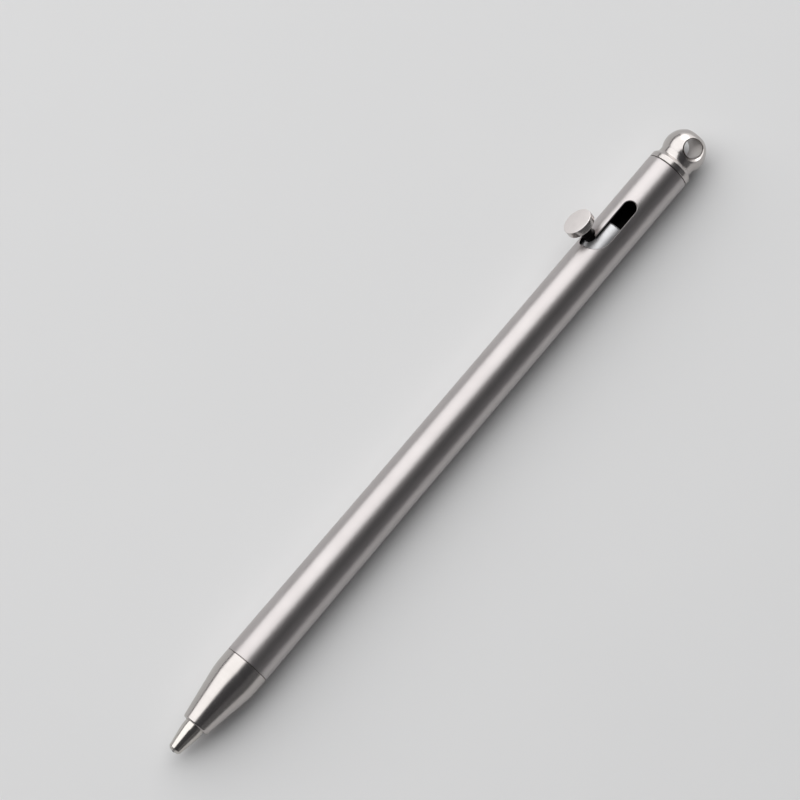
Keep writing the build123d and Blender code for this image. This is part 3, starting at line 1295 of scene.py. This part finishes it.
@dataclass
class RefillTip:
    """Turned metal tip of the refill and the ball that writes."""

    pen: PenLayout
    cylinder_out: float = 0.9
    shoulder_round: float = 0.15
    end_radius: float = 0.875
    end_bevel: float = 0.3
    bevel_round: float = 0.06
    rim_round: float = 0.04
    plug_radius: float = 1.165
    channel: float = 0.25
    ball_fit: float = 0.02
    cup_steps: int = 16
    ball_arc_steps: int = 32
    ball_steps: int = 48
    steps: int = 96

    def build(self) -> list[bpy.types.Object]:
        """Build the tip and its ball and dress them.

        Returns:
            The finished pieces.
        """
        pen = self.pen
        ball = pen.writing_ball_radius
        centre = pen.writing_end + ball
        socket = ball + self.ball_fit
        mouth = math.degrees(math.acos((pen.tip_front - centre) / socket))
        throat = math.degrees(math.asin(self.channel / socket))
        cup = arc(centre, socket, throat, mouth, self.cup_steps)
        corners = [
            *cup,
            Corner(pen.tip_front, self.end_radius - self.end_bevel, self.rim_round),
            Corner(pen.tip_front + self.end_bevel, self.end_radius, self.bevel_round),
            Corner(pen.nose_front - self.cylinder_out, pen.tip_radius, self.shoulder_round),
            Corner(pen.tip_shoulder, pen.tip_radius),
            Corner(pen.tip_shoulder, self.plug_radius),
            Corner(pen.tip_end, self.plug_radius),
            Corner(pen.tip_end, self.channel),
            cup[0],
        ]
        tip = turn_piece("tip_holder", pen.axis, rounded(corners), self.steps)
        tip.data.materials.append(NICKEL_SILVER_TIP.make())
        hand_over(tip, Body.REFILL, Slot.TIP_NICKEL_SILVER, "refill_tip")

        half_round = [(c.along, c.across) for c in arc(centre, ball, 180, 0, self.ball_arc_steps)]
        roller = turn_piece("tip_ball", pen.axis, half_round, self.ball_steps)
        roller.data.materials.append(LAPPED_CARBIDE.make())
        hand_over(roller, Body.WRITING_BALL, Slot.BALL_CARBIDE, "writing_ball")
        return [tip, roller]


@dataclass
class HiddenWorks:
    """Pieces inside the pen that keep their CAD shape and get a finish."""

    def build(self) -> list[bpy.types.Object]:
        """Give each of the inner CAD pieces its finish.

        Returns:
            The dressed pieces.
        """
        finishes = {
            "nose_o_ring": MOULDED_RUBBER,
            "spring_washer": BRIGHT_PLUNGER,
            "return_spring": DRAWN_WIRE,
            "refill_tube": MILKY_TUBE,
            "ink_column": POURED_INK,
            "ink_follower": GREASE_PLUG,
        }
        pieces = [frame["nodes"][node] for node in finishes]
        for piece, finish in zip(pieces, finishes.values()):
            piece.material_slots[0].material = finish.make()
        return pieces


@dataclass(frozen=True)
class Softbox:
    """Flat studio light that faces the pen.

    A light that isn't mirrored stays out of reflections, and one that isn't on the floor lights these only.
    """

    name: str
    direction: tuple[float, float, float]
    distance: float
    width: float
    height: float
    watts: float
    mirrored: bool = True
    on_floor: bool = True

    def hang(self) -> None:
        """Hang the light, with its width level."""
        deselect_all()
        direction = Vector(self.direction).normalized()
        bpy.ops.object.light_add(type="AREA", location=direction * self.distance * MM)
        lamp = bpy.context.object
        lamp.name = self.name
        lamp.rotation_euler = (-direction).to_track_quat("-Z", "Y").to_euler()
        lamp.data.shape = "RECTANGLE"
        lamp.data.size = self.width * MM
        lamp.data.size_y = self.height * MM
        lamp.data.energy = self.watts
        lamp.visible_glossy = self.mirrored
        lamp.visible_diffuse = self.on_floor


@dataclass
class Studio:
    """Pale floor, soft studio light and the camera."""

    aim: tuple[float, float, float] = (0.567, 5.735, 4.07)
    towards_camera: tuple[float, float, float] = (-0.1556, -0.1304, 0.979)
    camera_distance: float = 441.0
    lens: float = 155.0
    sensor: float = 36.0
    clip_start: float = 10.0
    floor_radius: float = 4000.0
    floor_sides: int = 96
    room: str = "#464648"
    lights: tuple[Softbox, ...] = (
        # The broad sheen on the knob's side of the pen, and most of the light on the floor.
        Softbox(
            name="key_softbox",
            direction=(0.2, 0.66, 0.77),
            distance=1240.0,
            width=3000.0,
            height=1800.0,
            watts=29.4,
        ),
        # A bright reflection on the ball and the tail's collar.
        Softbox(
            name="tail_card",
            direction=(0.88, 0.3, 0.36),
            distance=1040.0,
            width=1120.0,
            height=840.0,
            watts=4.0,
            on_floor=False,
        ),
        # A faint sheen on the other side.
        Softbox(
            name="side_card",
            direction=(-0.1, -0.92, 0.36),
            distance=1400.0,
            width=2400.0,
            height=920.0,
            watts=0.52,
        ),
        # Even light on the floor and on what isn't metal.
        Softbox(
            name="overhead_fill",
            direction=(0.0, 0.1, 1.0),
            distance=1200.0,
            width=1600.0,
            height=1600.0,
            watts=3.4,
            mirrored=False,
        ),
    )

    def floor(self) -> None:
        """Lay the floor that the pen rests on."""
        deselect_all()
        bpy.ops.mesh.primitive_circle_add(
            vertices=self.floor_sides, radius=self.floor_radius * MM, fill_type="NGON"
        )
        floor = bpy.context.object
        floor.name = "studio_floor"
        floor.data.materials.append(STUDIO_PAPER.make())

    def surroundings(self) -> None:
        """Set the dim, even room that the metal reflects outside the softboxes."""
        world = bpy.data.worlds.new("dim studio")
        world.use_nodes = True
        world.node_tree.nodes.clear()
        light = add_node(world.node_tree, "ShaderNodeBackground", {"Color": linear(self.room)})
        add_node(world.node_tree, "ShaderNodeOutputWorld", None, {"Surface": light.outputs[0]})
        bpy.context.scene.world = world

    def camera(self) -> None:
        """Set the camera at the photograph's angle."""
        deselect_all()
        back = Vector(self.towards_camera).normalized()
        place = (Vector(self.aim) + back * self.camera_distance) * MM
        bpy.ops.object.camera_add(location=place)
        camera = bpy.context.object
        camera.rotation_euler = (-back).to_track_quat("-Z", "Y").to_euler()
        camera.data.lens = self.lens
        camera.data.sensor_width = self.sensor
        camera.data.clip_start = self.clip_start * MM
        bpy.context.scene.camera = camera

    def build(self) -> None:
        """Set up floor, light, room, camera and the plain view transform."""
        self.floor()
        for light in self.lights:
            light.hang()
        self.surroundings()
        self.camera()
        bpy.context.scene.view_settings.view_transform = "Standard"


def main() -> None:
    """Build the pen's sub-assemblies in order, report each piece, then set up the studio."""
    logging.basicConfig(level=logging.INFO, format="%(name)s: %(message)s")
    pen = PenLayout.read()
    sub_assemblies = (Barrel(pen), NoseCone(pen), TailCap(pen), Bolt(pen), RefillTip(pen), HiddenWorks())
    for sub_assembly in sub_assemblies:
        for piece in sub_assembly.build():
            log.info("%s: %d faces", piece.name, len(piece.data.polygons))
    Studio().build()


if __name__ == "__main__":
    main()
